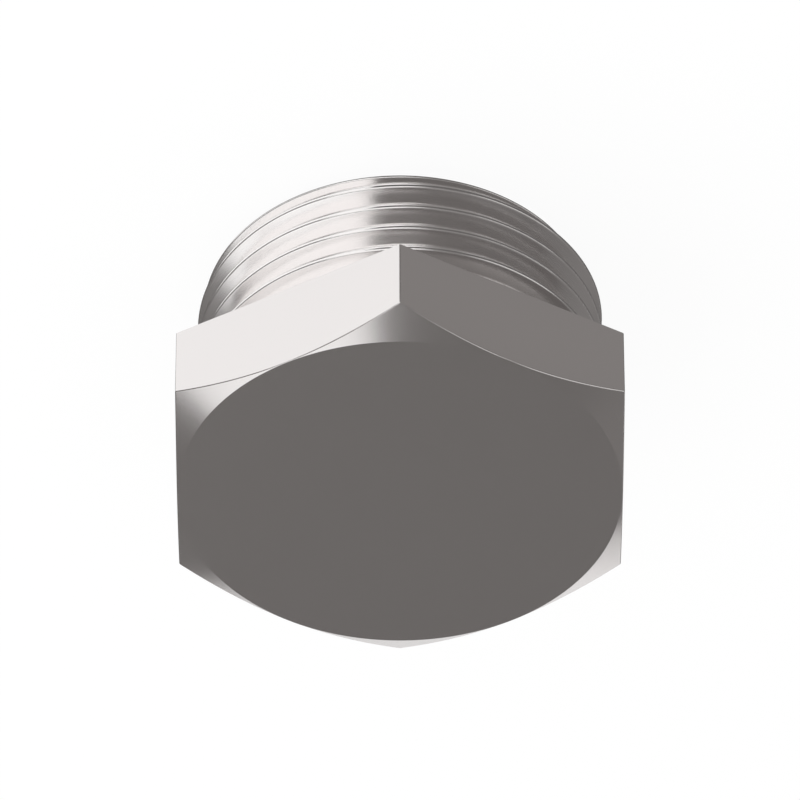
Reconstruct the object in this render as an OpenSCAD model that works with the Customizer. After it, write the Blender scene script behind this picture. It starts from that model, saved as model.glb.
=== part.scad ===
// Blanking plug: a hexagon head on a short parallel pipe thread, turned from one bar.
// It stands on the end of its thread. The origin is the centre of that end face, +Z points
// up through the head, and two corners of the hexagon lie on the Y axis.

/* [Head] */
// Width of the hexagon across its flats
across_flats = 36; // [34:0.5:50]
// Height of the head
head_h = 8; // [5:0.5:15]
// Slope of the turned chamfer that rounds off the corners, from the top face
corner_chamfer_angle = 30; // [15:1:35]
// Ring of the top face left between the chamfer and the middle of a flat
flat_margin = 0.05; // [0:0.05:0.5]

/* [Thread] */
// Outside diameter over the thread: G 1, cut to the middle of its tolerance
thread_d = 33.1; // [25:0.05:33.3]
// Distance between turns: 11 turns to the inch
pitch = 2.309; // [1.5:0.001:2.5]
// Length of the shank below the head
shank_len = 13; // [8:0.5:20]
// Height of the plain land that the thread leaves under the head
land_h = 0.8; // [0.4:0.1:1.5]
// How far that land stands out over the crests, to centre a washer
land_over = 0.05; // [0.02:0.01:0.07]
// Half of the angle between two flanks
flank_angle = 27.5; // [27.5:0.5:30]
// Width of the 45 degree chamfer at the end of the thread
end_chamfer = 1.35; // [0.5:0.05:1.4]
// Angle around the axis at which the height of a crest is that of the end face
thread_start = 260; // [0:5:355]

/* [Facets] */
// Straight pieces in one turn of the thread
turn_steps = 48; // [36:4:64]
// Straight pieces in half of a rounded crest or root
round_steps = 2; // [1:1:3]

/* [Hidden] */
$fn = 96;

// The whole part
total_h = shank_len + head_h;

// Corners of the hexagon, and the circle where the chamfer meets the top face
corner_r = across_flats / 2 / cos(30);
face_r = across_flats / 2 - flat_margin;

// A Whitworth thread form: a sharp triangle with a sixth cut off and rounded at each end
sharp_h = pitch / 2 / tan(flank_angle);
thread_depth = sharp_h * 2 / 3;
round_r = sharp_h / 6 / (1 / sin(flank_angle) - 1);
round_angle = 90 - flank_angle;
crest_r = thread_d / 2;
root_r = crest_r - thread_depth;
land_r = crest_r + land_over;

// The shank runs on into the head, and cutting shapes run past what they cut
sunk = head_h / 2;
past = 1;

// Half of one thread groove as [radius, height]: from the top of a crest down to the root
crest_half = [for (k = [0 : round_steps]) let (a = round_angle * k / round_steps)
    [crest_r - round_r + round_r * cos(a), round_r * sin(a)]];
root_half = [for (k = [0 : round_steps]) let (a = round_angle * (1 - k / round_steps))
    [root_r + round_r - round_r * cos(a), pitch / 2 - round_r * sin(a)]];
down = concat(crest_half, root_half);
// The other half is its mirror image, without the two points that the halves share
up = [for (k = [len(down) - 2 : -1 : 1]) [down[k][0], pitch - down[k][1]]];
groove = concat(down, up);
per_groove = len(groove);

// The winding starts two turns below the end face and stops inside the head
turns_below = 2;
turns_spare = 0.2;
turns = ceil(shank_len / pitch + turns_spare) + turns_below;
steps = turns * turn_steps;
winding_low = -turns_below * pitch;
winding_high = winding_low + (turns + 1) * pitch;

// Point j of the groove at step i around the helix
function winding_point(i, j) =
    let (a = thread_start + 360 * i / turn_steps)
    [groove[j][0] * cos(a), groove[j][0] * sin(a),
        winding_low + pitch * i / turn_steps + groove[j][1]];

// Where that point stands in the list: the groove's far edge is the next turn's near edge
function winding_index(i, j) =
    j < per_groove ? i * per_groove + j
    : i + turn_steps <= steps ? (i + turn_steps) * per_groove
    : (steps + 1) * per_groove + i + turn_steps - steps - 1;

// Shank with a right-hand thread wound on it, closed by a fan at each end
module threaded_bar() {
    body = [for (i = [0 : steps]) for (j = [0 : per_groove - 1]) winding_point(i, j)];
    last_edge = [for (i = [steps + 1 : steps + turn_steps]) winding_point(i, 0)];
    low_centre = len(body) + len(last_edge);
    high_centre = low_centre + 1;
    sides = [for (i = [0 : steps - 1]) for (j = [0 : per_groove - 1])
        let (a = winding_index(i, j), b = winding_index(i + 1, j),
            c = winding_index(i + 1, j + 1), d = winding_index(i, j + 1))
        each [[a, c, b], [a, d, c]]];
    low_fan = concat(
        [for (i = [0 : turn_steps - 1])
            [low_centre, winding_index(i, 0), winding_index(i + 1, 0)]],
        [for (j = [0 : per_groove - 1])
            [low_centre, winding_index(0, j + 1), winding_index(0, j)]]);
    high_fan = concat(
        [for (i = [steps - turn_steps : steps - 1])
            [high_centre, winding_index(i + 1, per_groove), winding_index(i, per_groove)]],
        [for (j = [0 : per_groove - 1])
            [high_centre, winding_index(steps, j), winding_index(steps, j + 1)]]);
    polyhedron(
        points = concat(body, last_edge, [[0, 0, winding_low], [0, 0, winding_high]]),
        faces = concat(sides, low_fan, high_fan));
}

// The room the thread may fill: flat at its end, with a 45 degree chamfer, open above
module thread_room() {
    clear_r = crest_r + past;
    rotate_extrude()
        polygon([[0, 0], [crest_r - end_chamfer, 0], [clear_r, end_chamfer + past],
            [clear_r, shank_len + sunk], [0, shank_len + sunk]]);
}

// Plain land under the head, where the cutter has lifted out of the groove at 45 degrees
module land() {
    low = shank_len - land_h;
    fall = land_over + thread_depth + round_r;
    rotate_extrude()
        polygon([[0, low - fall], [land_r - fall, low - fall], [land_r, low],
            [land_r, shank_len + sunk], [0, shank_len + sunk]]);
}

module shank() {
    intersection() {
        threaded_bar();
        thread_room();
    }
    land();
}

// Hexagon head, its top corners turned off by a shallow cone
module head() {
    clear_r = corner_r + past;
    cone_drop = (clear_r - face_r) * tan(corner_chamfer_angle);
    intersection() {
        translate([0, 0, shank_len])
            rotate(30)
                cylinder(h = head_h, r = corner_r, $fn = 6);
        rotate_extrude()
            polygon([[0, 0], [clear_r, 0], [clear_r, total_h - cone_drop],
                [face_r, total_h], [0, total_h]]);
    }
}

module plug() {
    color("silver")
        union() {
            head();
            shank();
        }
}

plug();
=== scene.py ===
from math import cos, pi, radians, sin, tan

import bmesh
import bpy
from mathutils import Matrix, Quaternion, Vector


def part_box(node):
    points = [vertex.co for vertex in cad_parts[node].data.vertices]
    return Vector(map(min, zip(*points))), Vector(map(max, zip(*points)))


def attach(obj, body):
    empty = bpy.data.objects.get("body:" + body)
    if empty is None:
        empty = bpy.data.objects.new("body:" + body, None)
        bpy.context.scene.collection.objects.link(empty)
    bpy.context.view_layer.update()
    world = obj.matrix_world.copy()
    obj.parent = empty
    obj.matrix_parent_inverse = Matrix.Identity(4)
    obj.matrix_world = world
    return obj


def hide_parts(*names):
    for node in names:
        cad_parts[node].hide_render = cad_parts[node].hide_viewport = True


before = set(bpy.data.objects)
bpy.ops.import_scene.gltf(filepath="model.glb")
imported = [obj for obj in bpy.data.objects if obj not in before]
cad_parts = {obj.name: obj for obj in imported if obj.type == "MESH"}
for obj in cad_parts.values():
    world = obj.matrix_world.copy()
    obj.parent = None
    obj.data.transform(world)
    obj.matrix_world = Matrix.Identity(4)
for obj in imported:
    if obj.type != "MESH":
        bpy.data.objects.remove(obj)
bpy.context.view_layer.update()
scene = bpy.context.scene
scene.view_settings.view_transform = "Standard"
low, high = (Vector(corner) * 1000 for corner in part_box("plug"))  # millimetres
print("the packed plug, mm:", [round(v, 2) for v in high - low])


# The plug is modelled in millimetres and brought to metres at the end
plugSettings = {
    "acrossFlats": high.x - low.x,
    "headBottom": high.z - 8,      # the head is 8 mm high
    "headTop": high.z,
    "cornerSlope": radians(30),    # turned chamfer on the head's corners
    "flatMargin": 0.05,            # top face left outside that chamfer's circle
    "threadRadius": 16.55,
    "pitch": 2.309,
    "flankAngle": radians(27.5),
    "crestRound": 0.23,            # keener than the standard's 0.317, and the roots wider,
    "rootRound": 0.46,             # which gives the photo's two light lines at each crest
    "threadStart": radians(252),   # where a crest is level with the end face
    "endChamfer": 1.35,
    "landRadius": 16.6,            # plain land under the head: a guess, the photo hides it
    "landHeight": 0.8,
    "landRunOut": 2,               # height of the 45 degree cone below it
    "turnSteps": 180,
    "turnsBelow": 2,               # wound past the end face and past the head, then cut off
    "turnsAbove": 2,
    "roundSteps": 5,               # in half of a rounded crest or root
    "flankParts": (0.05, 0.9, 0.05),
    "blankSteps": 360,
    "sunk": 1.5,                   # the threaded bar runs on into the head
    "past": 1,                     # cutting shapes run past what they cut
    "turnWeld": 0.002,             # points nearer than these are one
    "turnedWeld": 0.001,
    "cutWeld": 0.0005,
}

edgeSettings = {
    "sharpAngle": radians(16),     # anything flatter is part of a curve
    "headRound": 0.1,
    "headClear": 0.5,              # the head's edges lie this far outside the thread
    "headThinning": 0.8,           # of the chamfer's width is the most that a rounding takes
    "endRound": 0.2,               # where the end chamfer cuts a flank of the thread
    "endStartRound": 0.04,         # and where it cuts the round of a crest or a root
    "endFlankAngle": radians(105),  # the fold at the first, and the least at the second
    "endLeastAngle": radians(60),
    "endLow": 0.05,                # height at which the rounding ends
    "endThinning": 0.5,            # of the height is the most that it takes
    "near": 0.01,
    "segments": 4,
}


def objectFrom(bm, name):
    mesh = bpy.data.meshes.new(name)
    bm.to_mesh(mesh)
    bm.free()
    made = bpy.data.objects.new(name, mesh)
    scene.collection.objects.link(made)
    return made


def bake(piece):
    done = bpy.data.meshes.new_from_object(piece.evaluated_get(bpy.context.evaluated_depsgraph_get()))
    piece.modifiers.clear()
    piece.data = done


def combine(body, tool, operation):
    cut = body.modifiers.new("cut", "BOOLEAN")
    cut.operation = operation
    cut.solver = "MANIFOLD"
    cut.object = tool
    bake(body)
    bpy.data.objects.remove(tool)


def windThread(s):
    # one groove walked from crest to crest, wound once round the axis, and that turn repeated
    bm = bmesh.new()
    sweep = pi / 2 - s["flankAngle"]
    bothRounds = s["crestRound"] + s["rootRound"]
    rise = s["pitch"] / 2 - bothRounds * sin(sweep)
    fall = rise / tan(s["flankAngle"])
    depth = fall + bothRounds * (1 - cos(sweep))
    crest = s["threadRadius"]
    tip = bm.verts.new((crest, 0, 0))
    walk = [
        (crest - s["crestRound"], 0, sweep, s["roundSteps"], -fall),
        (crest - depth + s["rootRound"], s["pitch"] / 2, -2 * sweep, 2 * s["roundSteps"], fall),
        (crest - s["crestRound"], s["pitch"], sweep, s["roundSteps"], None),
    ]
    for centreX, centreZ, angle, steps, flank in walk:
        arc = bmesh.ops.spin(bm, geom=[tip], cent=(centreX, 0, centreZ), axis=(0, -1, 0),
                             angle=angle, steps=steps)
        tip = next(v for v in arc["geom_last"] if isinstance(v, bmesh.types.BMVert))
        for part in s["flankParts"] if flank else ():
            tip = bmesh.ops.extrude_vert_indiv(bm, verts=[tip])["verts"][0]
            bmesh.ops.translate(bm, verts=[tip], vec=(flank * part, 0, rise * part))
    bmesh.ops.rotate(bm, verts=bm.verts, matrix=Matrix.Rotation(s["threadStart"], 3, "Z"))
    bmesh.ops.translate(bm, verts=bm.verts, vec=(0, 0, -s["turnsBelow"] * s["pitch"]))
    bmesh.ops.spin(bm, geom=bm.verts[:] + bm.edges[:], cent=(0, 0, 0), axis=(0, 0, 1),
                   dvec=(0, 0, s["pitch"] / s["turnSteps"]), angle=2 * pi, steps=s["turnSteps"])
    firstTurn = bm.verts[:] + bm.edges[:] + bm.faces[:]
    turns = int(s["headBottom"] / s["pitch"]) + s["turnsBelow"] + s["turnsAbove"]
    for turn in range(1, turns):
        copied = bmesh.ops.duplicate(bm, geom=firstTurn)["geom"]
        bmesh.ops.translate(bm, verts=[v for v in copied if isinstance(v, bmesh.types.BMVert)],
                            vec=(0, 0, turn * s["pitch"]))
    bmesh.ops.remove_doubles(bm, verts=bm.verts, dist=s["turnWeld"])
    for height, side in ((0, "clear_inner"), (s["headBottom"] + s["sunk"], "clear_outer")):
        bmesh.ops.bisect_plane(bm, geom=bm.verts[:] + bm.edges[:] + bm.faces[:], dist=1e-6,
                               plane_co=(0, 0, height), plane_no=(0, 0, 1), **{side: True})
        rim = [e for e in bm.edges
               if e.is_boundary and all(abs(v.co.z - height) < 1e-4 for v in e.verts)]
        bmesh.ops.contextual_create(bm, geom=rim)
    bmesh.ops.recalc_face_normals(bm, faces=bm.faces)
    openEdges = sum(not e.is_manifold for e in bm.edges)
    print("thread wound:", len(bm.faces), "faces, open edges", openEdges)
    return objectFrom(bm, "threadedBar")


def cutHexagon(s):
    bm = bmesh.new()
    corner = s["acrossFlats"] / 2 / cos(pi / 6)
    bmesh.ops.create_circle(bm, segments=6, radius=corner, cap_ends=True)
    bmesh.ops.translate(bm, verts=bm.verts, vec=(0, 0, s["headBottom"]))
    top = bmesh.ops.extrude_face_region(bm, geom=bm.faces[:])["geom"]
    bmesh.ops.translate(bm, verts=[v for v in top if isinstance(v, bmesh.types.BMVert)],
                        vec=(0, 0, s["headTop"] - s["headBottom"]))
    bmesh.ops.recalc_face_normals(bm, faces=bm.faces)
    return objectFrom(bm, "hexagonBar")


def turned(outline, s, name):
    bm = bmesh.new()
    points = [bm.verts.new((x, 0, z)) for x, z in outline]
    for a, b in zip(points, points[1:]):
        bm.edges.new((a, b))
    bmesh.ops.rotate(bm, verts=bm.verts, matrix=Matrix.Rotation(pi / s["blankSteps"] / 2, 3, "Z"))
    bmesh.ops.spin(bm, geom=bm.verts[:] + bm.edges[:], cent=(0, 0, 0), axis=(0, 0, 1),
                   angle=2 * pi, steps=s["blankSteps"], use_merge=True)
    bmesh.ops.remove_doubles(bm, verts=bm.verts, dist=s["turnedWeld"])
    bmesh.ops.recalc_face_normals(bm, faces=bm.faces)
    return objectFrom(bm, name)


def turnLand(s):
    low = s["headBottom"] - s["landHeight"]
    return turned([
        (0, low - s["landRunOut"]),
        (s["landRadius"] - s["landRunOut"], low - s["landRunOut"]),
        (s["landRadius"], low),
        (s["landRadius"], s["headBottom"] + s["past"]),
        (0, s["headBottom"] + s["past"]),
    ], s, "land")


def turnBlank(s):
    # the lathe leaves what is inside this: chamfer on the thread's end, cone over the corners
    wide = s["acrossFlats"] / 2 / cos(pi / 6) + s["past"]
    face = s["acrossFlats"] / 2 - s["flatMargin"]
    slope = tan(s["cornerSlope"])
    return turned([
        (0, -s["past"]),
        (s["threadRadius"] - s["endChamfer"] - s["past"], -s["past"]),
        (wide, s["endChamfer"] + wide - s["threadRadius"]),
        (wide, s["headTop"] - (wide - face) * slope),
        (face - s["past"] / slope, s["headTop"] + s["past"]),
        (0, s["headTop"] + s["past"]),
    ], s, "blank")


def edgeSize(e, s, edges):
    mid = (e.verts[0].co + e.verts[1].co) / 2
    radius = mid.xy.length
    angle = e.calc_face_angle()
    if angle < edges["sharpAngle"]:
        return 0
    if mid.z > s["headBottom"] + edges["near"] and radius > s["threadRadius"] + edges["headClear"]:
        # the corner chamfer thins out to nothing in the middle of a flat, and its rounding with it
        faceRadius = s["acrossFlats"] / 2 - s["flatMargin"]
        room = (radius - faceRadius) * edges["headThinning"] - edges["near"]
        return max(0, min(edges["headRound"], room))
    endRadius = s["threadRadius"] - s["endChamfer"]
    onEndChamfer = mid.z > edges["endLow"] and abs(radius - mid.z - endRadius) < edges["near"]
    if onEndChamfer and angle > edges["endLeastAngle"]:
        # and so does the thread's end edge, where it runs down into the end face
        size = edges["endRound"] if angle > edges["endFlankAngle"] else edges["endStartRound"]
        return min(size, min(v.co.z for v in e.verts) * edges["endThinning"])
    return 0


def breakEdges(piece, s, edges):
    bm = bmesh.new()
    bm.from_mesh(piece.data)
    bmesh.ops.remove_doubles(bm, verts=bm.verts, dist=s["cutWeld"])
    bmesh.ops.dissolve_degenerate(bm, edges=bm.edges, dist=s["cutWeld"])
    openEdges = sum(not e.is_manifold for e in bm.edges)
    print("cut plug:", len(bm.faces), "faces, open edges", openEdges)
    share = bm.edges.layers.float.new("bevel_weight_edge")
    for e in bm.edges:
        e[share] = edgeSize(e, s, edges) / edges["endRound"]
        if e[share] == 0 and e.calc_face_angle() > edges["sharpAngle"]:
            e.smooth = False
    for face in bm.faces:
        face.smooth = True
    print("rounding", sum(e[share] > 0 for e in bm.edges), "edges")
    bm.to_mesh(piece.data)
    bm.free()
    rounding = piece.modifiers.new("rounding", "BEVEL")
    rounding.limit_method = "WEIGHT"
    rounding.offset_type = "OFFSET"
    rounding.width = edges["endRound"]
    rounding.segments = edges["segments"]
    rounding.profile = 0.5
    rounding.use_clamp_overlap = False
    rounding.harden_normals = True
    bake(piece)
    piece.data.transform(Matrix.Scale(0.001, 4))


def makePlug(s, edges):
    piece = cutHexagon(s)
    combine(piece, windThread(s), "UNION")
    combine(piece, turnLand(s), "UNION")
    combine(piece, turnBlank(s), "INTERSECT")
    breakEdges(piece, s, edges)
    piece.name = piece.data.name = "plugBody"
    piece.data.materials.clear()
    piece.data.materials.append(machinedSteel(steelSettings))
    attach(piece, "root")
    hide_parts("plug")
    return piece


steelSettings = {
    "headColour": (0.873, 0.842, 0.833, 1),
    "threadColour": (1, 0.975, 0.967, 1),   # fresh from the cutter, a little brighter than the bar
    "tarnish": 0.985,              # the darkest patches, as a share of the colour
    "patchSize": 0.006,            # metres, as are the marks below
    "turningMarks": 0.00016,
    "drawingMarks": 0.0003,
    "drawingLength": 0.012,
    "markDepth": 0.0000001,
    "roughness": (0.19, 0.25),
    "edgeMargin": 0.00001,         # the head's colour starts this far below its underside
    "uprightSlope": 0.2,           # a face whose normal climbs less is a flat of the head
}


def machinedSteel(s):
    steel = bpy.data.materials.new("machinedSteel")
    steel.use_nodes = True
    nodes, links = steel.node_tree.nodes, steel.node_tree.links
    shader = nodes["Principled BSDF"]
    shader.inputs["Metallic"].default_value = 1

    def calculate(operation, a, b):
        step = nodes.new("ShaderNodeMath")
        step.operation = operation
        for socket, value in zip(step.inputs, (a, b)):
            if isinstance(value, bpy.types.NodeSocket):
                links.new(value, socket)
            else:
                socket.default_value = value
        return step.outputs[0]

    def mix(kind, factor, a, b):
        blend = nodes.new("ShaderNodeMix")
        blend.data_type = kind
        sockets = {"FLOAT": (2, 3, 0), "RGBA": (6, 7, 2)}[kind]
        links.new(factor, blend.inputs[0])
        for index, value in zip(sockets, (a, b)):
            if isinstance(value, bpy.types.NodeSocket):
                links.new(value, blend.inputs[index])
            else:
                blend.inputs[index].default_value = value
        return blend.outputs[sockets[2]]

    def noise(place, detail):
        pattern = nodes.new("ShaderNodeTexNoise")
        pattern.inputs["Scale"].default_value = 1
        pattern.inputs["Detail"].default_value = detail
        links.new(place, pattern.inputs["Vector"])
        return pattern.outputs[0]

    def stretched(place, sizes):
        scale = nodes.new("ShaderNodeMapping")
        scale.inputs["Scale"].default_value = [1 / size for size in sizes]
        links.new(place, scale.inputs["Vector"])
        return scale.outputs[0]

    place = nodes.new("ShaderNodeTexCoord").outputs["Object"]
    parts = nodes.new("ShaderNodeSeparateXYZ")
    links.new(place, parts.inputs[0])
    x, y, z = parts.outputs
    squares = calculate("ADD", calculate("MULTIPLY", x, x), calculate("MULTIPLY", y, y))
    radius = calculate("SQRT", squares, 0)
    facing = nodes.new("ShaderNodeSeparateXYZ")
    links.new(nodes.new("ShaderNodeNewGeometry").outputs["Normal"], facing.inputs[0])
    underside = plugSettings["headBottom"] / 1000
    onThread = calculate("LESS_THAN", z, underside - s["edgeMargin"])
    climb = calculate("ABSOLUTE", facing.outputs[2], 0)
    upright = calculate("LESS_THAN", climb, s["uprightSlope"])
    onFlats = calculate("MULTIPLY", upright, calculate("SUBTRACT", 1, onThread))

    # rings that the lathe leaves on every turned face, and so along the thread's flanks too;
    # lines along the drawn flats
    ringPlace = nodes.new("ShaderNodeCombineXYZ")
    links.new(calculate("DIVIDE", radius, s["turningMarks"]), ringPlace.inputs[0])
    rings = noise(ringPlace.outputs[0], detail=2)
    lineSizes = (s["drawingMarks"], s["drawingMarks"], s["drawingLength"])
    lines = noise(stretched(place, lineSizes), detail=3)
    marks = mix("FLOAT", onFlats, rings, lines)
    patches = noise(stretched(place, (s["patchSize"],) * 3), detail=3)

    bump = nodes.new("ShaderNodeBump")
    bump.inputs["Strength"].default_value = 1
    bump.inputs["Distance"].default_value = s["markDepth"]
    links.new(marks, bump.inputs["Height"])
    links.new(bump.outputs[0], shader.inputs["Normal"])

    smooth, rough = s["roughness"]
    wear = calculate("MULTIPLY", calculate("ADD", marks, patches), 0.5)
    links.new(mix("FLOAT", wear, smooth, rough), shader.inputs["Roughness"])

    bright = mix("RGBA", onThread, s["headColour"], s["threadColour"])
    dimmed = nodes.new("ShaderNodeHueSaturation")
    links.new(mix("FLOAT", patches, s["tarnish"], 1.0), dimmed.inputs["Value"])
    links.new(bright, dimmed.inputs["Color"])
    links.new(dimmed.outputs[0], shader.inputs["Base Color"])
    return steel


# Studio: pale floor, soft lamps, a camera with a long lens

cameraSettings = {
    "distance": 0.80616,
    "elevation": radians(42.702),
    "targetHeight": 0.010725,
    "lens": 445.8,
    "sensor": 36,
    "clip": (0.05, 20),
}


def placeCamera(s):
    camera = bpy.data.objects.new("camera", bpy.data.cameras.new("camera"))
    scene.collection.objects.link(camera)
    back = Vector((0, -cos(s["elevation"]), sin(s["elevation"])))
    camera.location = Vector((0, 0, s["targetHeight"])) + back * s["distance"]
    camera.rotation_mode = "QUATERNION"
    upsideDown = Quaternion((0, 0, 1), pi)  # the photo has the head low and the thread high
    camera.rotation_quaternion = (-back).to_track_quat("-Z", "Y") @ upsideDown
    camera.data.sensor_width = s["sensor"]
    camera.data.lens = s["lens"]
    camera.data.clip_start, camera.data.clip_end = s["clip"]
    scene.camera = camera


floorSettings = {
    "size": 6,
    "drop": 0.00001,               # below the end face, so that the two don't fight
    "colour": (0.88, 0.88, 0.88, 1),
    "roughness": 0.9,
    "whiteShare": 0.93,            # of the white that is seen in place of the lit floor
}


def seenRays(nodes, links):
    # 1 where the camera sees the white, straight or in the steel
    rays = nodes.new("ShaderNodeLightPath")
    seen = rays.outputs["Is Camera Ray"]
    for kind in ("Is Glossy Ray", "Is Transmission Ray"):
        either = nodes.new("ShaderNodeMath")
        either.operation = "MAXIMUM"
        links.new(seen, either.inputs[0])
        links.new(rays.outputs[kind], either.inputs[1])
        seen = either.outputs[0]
    return seen


def layFloor(s):
    bm = bmesh.new()
    bmesh.ops.create_grid(bm, x_segments=1, y_segments=1, size=s["size"] / 2)
    floor = objectFrom(bm, "floor")
    floor.location.z = -s["drop"]
    paper = bpy.data.materials.new("floorPaper")
    paper.use_nodes = True
    nodes, links = paper.node_tree.nodes, paper.node_tree.links
    lit = nodes["Principled BSDF"]
    lit.inputs["Base Color"].default_value = s["colour"]
    lit.inputs["Roughness"].default_value = s["roughness"]
    lit.inputs["Specular IOR Level"].default_value = 0
    white = nodes.new("ShaderNodeEmission")
    share = nodes.new("ShaderNodeMath")
    share.operation = "MULTIPLY"
    share.inputs[1].default_value = s["whiteShare"]
    links.new(seenRays(nodes, links), share.inputs[0])
    blend = nodes.new("ShaderNodeMixShader")
    links.new(share.outputs[0], blend.inputs[0])
    links.new(lit.outputs[0], blend.inputs[1])
    links.new(white.outputs[0], blend.inputs[2])
    links.new(blend.outputs[0], nodes["Material Output"].inputs["Surface"])
    floor.data.materials.append(paper)


worldSettings = {
    "colour": (0.85, 0.85, 0.85, 1),
}


def fillWorld(s):
    world = bpy.data.worlds.new("studio")
    scene.world = world
    world.use_nodes = True
    nodes, links = world.node_tree.nodes, world.node_tree.links
    room = nodes["Background"]
    room.inputs["Color"].default_value = s["colour"]
    white = nodes.new("ShaderNodeBackground")
    white.inputs["Color"].default_value = (1, 1, 1, 1)
    blend = nodes.new("ShaderNodeMixShader")
    links.new(seenRays(nodes, links), blend.inputs[0])
    links.new(room.outputs[0], blend.inputs[1])
    links.new(white.outputs[0], blend.inputs[2])
    links.new(blend.outputs[0], nodes["World Output"].inputs["Surface"])


# Boards that only the steel's reflections see, in metres, placed for the photo's view. The plug
# stands in a grey box with a window in its roof over the right. Mats darken the floor but for its
# near right and a strip behind; the mats at the plug's foot and to its left are painted shadow, the
# plug's shade on the floor, and they darken the floor beyond it too. A small card beside one flat
# paints that shadow into the flat's reflection, which gives that flat its own tone.
boardSettings = {
    "wallBack": {"centre": (0.075, 0.6, 0.3), "size": (1.35, 0.62), "stands": True, "tone": 0.158},
    "wallFront": {"centre": (0.075, -0.6, 0.3), "size": (1.35, 0.62), "stands": True, "tone": 0.19},
    "wallLeft": {"centre": (-0.6, 0, 0.3), "size": (1.2, 0.62), "stands": True, "turn": 90,
                 "tone": 0.19},
    "wallRight": {"centre": (0.75, 0, 0.3), "size": (1.2, 0.62), "stands": True, "turn": 90,
                  "tone": 0.16},
    "roofLeft": {"centre": (-0.2715, 0, 0.6), "size": (0.673, 1.2), "tone": 0.155},
    "roofBack": {"centre": (0.4075, 0.44, 0.6), "size": (0.677, 0.32), "tone": 0.155},
    "roofFront": {"centre": (0.4075, -0.48, 0.6), "size": (0.677, 0.24), "tone": 0.19},
    "matPale": {"centre": (-0.02, 0.13, 0.0001), "size": (0.3, 0.14), "tone": 0.78,
                "tint": (1, 1, 1)},
    # painted shadow: dark mats that put the plug's shadow on the floor to its left into the steel's
    # reflections, and darken the floor farther left
    "paintedShadowLeft": {"centre": (-0.2976, -0.0656, 0.0002), "size": (0.6, 0.15), "turn": 18.4,
                "tone": 0.125},
    "paintedShadowFarLeft": {"centre": (-0.3638, -0.2424, 0.0002), "size": (0.6, 0.55), "turn": -13,
                   "tone": 0.125},
    # painted shade: a dark disc round the plug's foot, its contact shadow on the floor, seen only in
    # the reflections
    "paintedFootShade": {"centre": (0, 0, 0.0002), "size": (0.0334, 0.0334), "round": True, "tone": 0.125},
    # painted shadow: a dark card that puts the plug's shadow on the floor into the reflection of the
    # flat beside it
    "paintedShadowCard": {"centre": (-0.0172, -0.0206, 0.0095), "size": (0.032, 0.0134), "turn": -30,
                 "tone": 0.24},
    "matBack": {"centre": (0.2911, 0.1161, 0.0002), "size": (0.62, 0.066), "turn": 18,
                "tone": 0.13},
    "matFarBack": {"centre": (0.3993, 0.2293, 0.0002), "size": (0.6, 0.59), "turn": -20.5,
                   "tone": 0.18},
}
boardTint = (1, 0.96, 0.94)


def standBoard(name, s):
    bm = bmesh.new()
    if s.get("round"):
        bmesh.ops.create_circle(bm, segments=96, radius=0.5, cap_ends=True)
    else:
        bmesh.ops.create_grid(bm, x_segments=1, y_segments=1, size=0.5)
    bmesh.ops.scale(bm, verts=bm.verts, vec=(*s["size"], 1))
    if s.get("stands"):
        bmesh.ops.rotate(bm, verts=bm.verts, matrix=Matrix.Rotation(pi / 2, 3, "X"))
    turn = Matrix.Rotation(radians(s.get("turn", 0)), 3, "Z")
    bmesh.ops.rotate(bm, verts=bm.verts, matrix=turn)
    bmesh.ops.translate(bm, verts=bm.verts, vec=s["centre"])
    board = objectFrom(bm, name)
    grey = bpy.data.materials.new(name + "Grey")
    grey.use_nodes = True
    nodes, links = grey.node_tree.nodes, grey.node_tree.links
    nodes.remove(nodes["Principled BSDF"])
    tone = nodes.new("ShaderNodeEmission")
    tone.inputs["Color"].default_value = (*s.get("tint", boardTint), 1)
    tone.inputs["Strength"].default_value = s["tone"]
    links.new(tone.outputs[0], nodes["Material Output"].inputs["Surface"])
    board.data.materials.append(grey)
    board.visible_camera = False
    board.visible_diffuse = False
    board.visible_shadow = False


# Each lamp hangs in a direction from the plug: azimuth from +X towards +Y, and elevation
lampSettings = {
    "overhead": {"azimuth": 0, "elevation": 58, "distance": 0.32, "size": (0.34, 0.26),
                 "radiance": 1.6, "mirrored": False},
    "front": {"azimuth": -79, "elevation": 21, "distance": 0.4, "size": (0.33, 0.3),
              "radiance": 0.75, "mirrored": True},
    "side": {"azimuth": -151, "elevation": 16, "distance": 0.4, "size": (0.315, 0.24),
             "radiance": 0.5, "mirrored": True},
    "back": {"azimuth": 104, "elevation": 5, "distance": 0.4, "size": (0.26, 0.12),
             "radiance": 0.54, "mirrored": True},
}


def hangLamp(name, s):
    data = bpy.data.lights.new(name + "Lamp", "AREA")
    data.shape = "RECTANGLE"
    data.size, data.size_y = s["size"]
    data.energy = s["radiance"] * s["size"][0] * s["size"][1] * pi  # gives its face that radiance
    lamp = bpy.data.objects.new(name + "Lamp", data)
    scene.collection.objects.link(lamp)
    turn, lift = radians(s["azimuth"]), radians(s["elevation"])
    lamp.location = Vector((cos(turn) * cos(lift), sin(turn) * cos(lift), sin(lift))) * s["distance"]
    lamp.rotation_mode = "QUATERNION"
    lamp.rotation_quaternion = (-lamp.location).to_track_quat("-Z", "Y")
    lamp.visible_camera = False
    lamp.visible_glossy = s["mirrored"]


makePlug(plugSettings, edgeSettings)
placeCamera(cameraSettings)
layFloor(floorSettings)
fillWorld(worldSettings)
for name, settings in boardSettings.items():
    standBoard(name, settings)
for name, settings in lampSettings.items():
    hangLamp(name, settings)
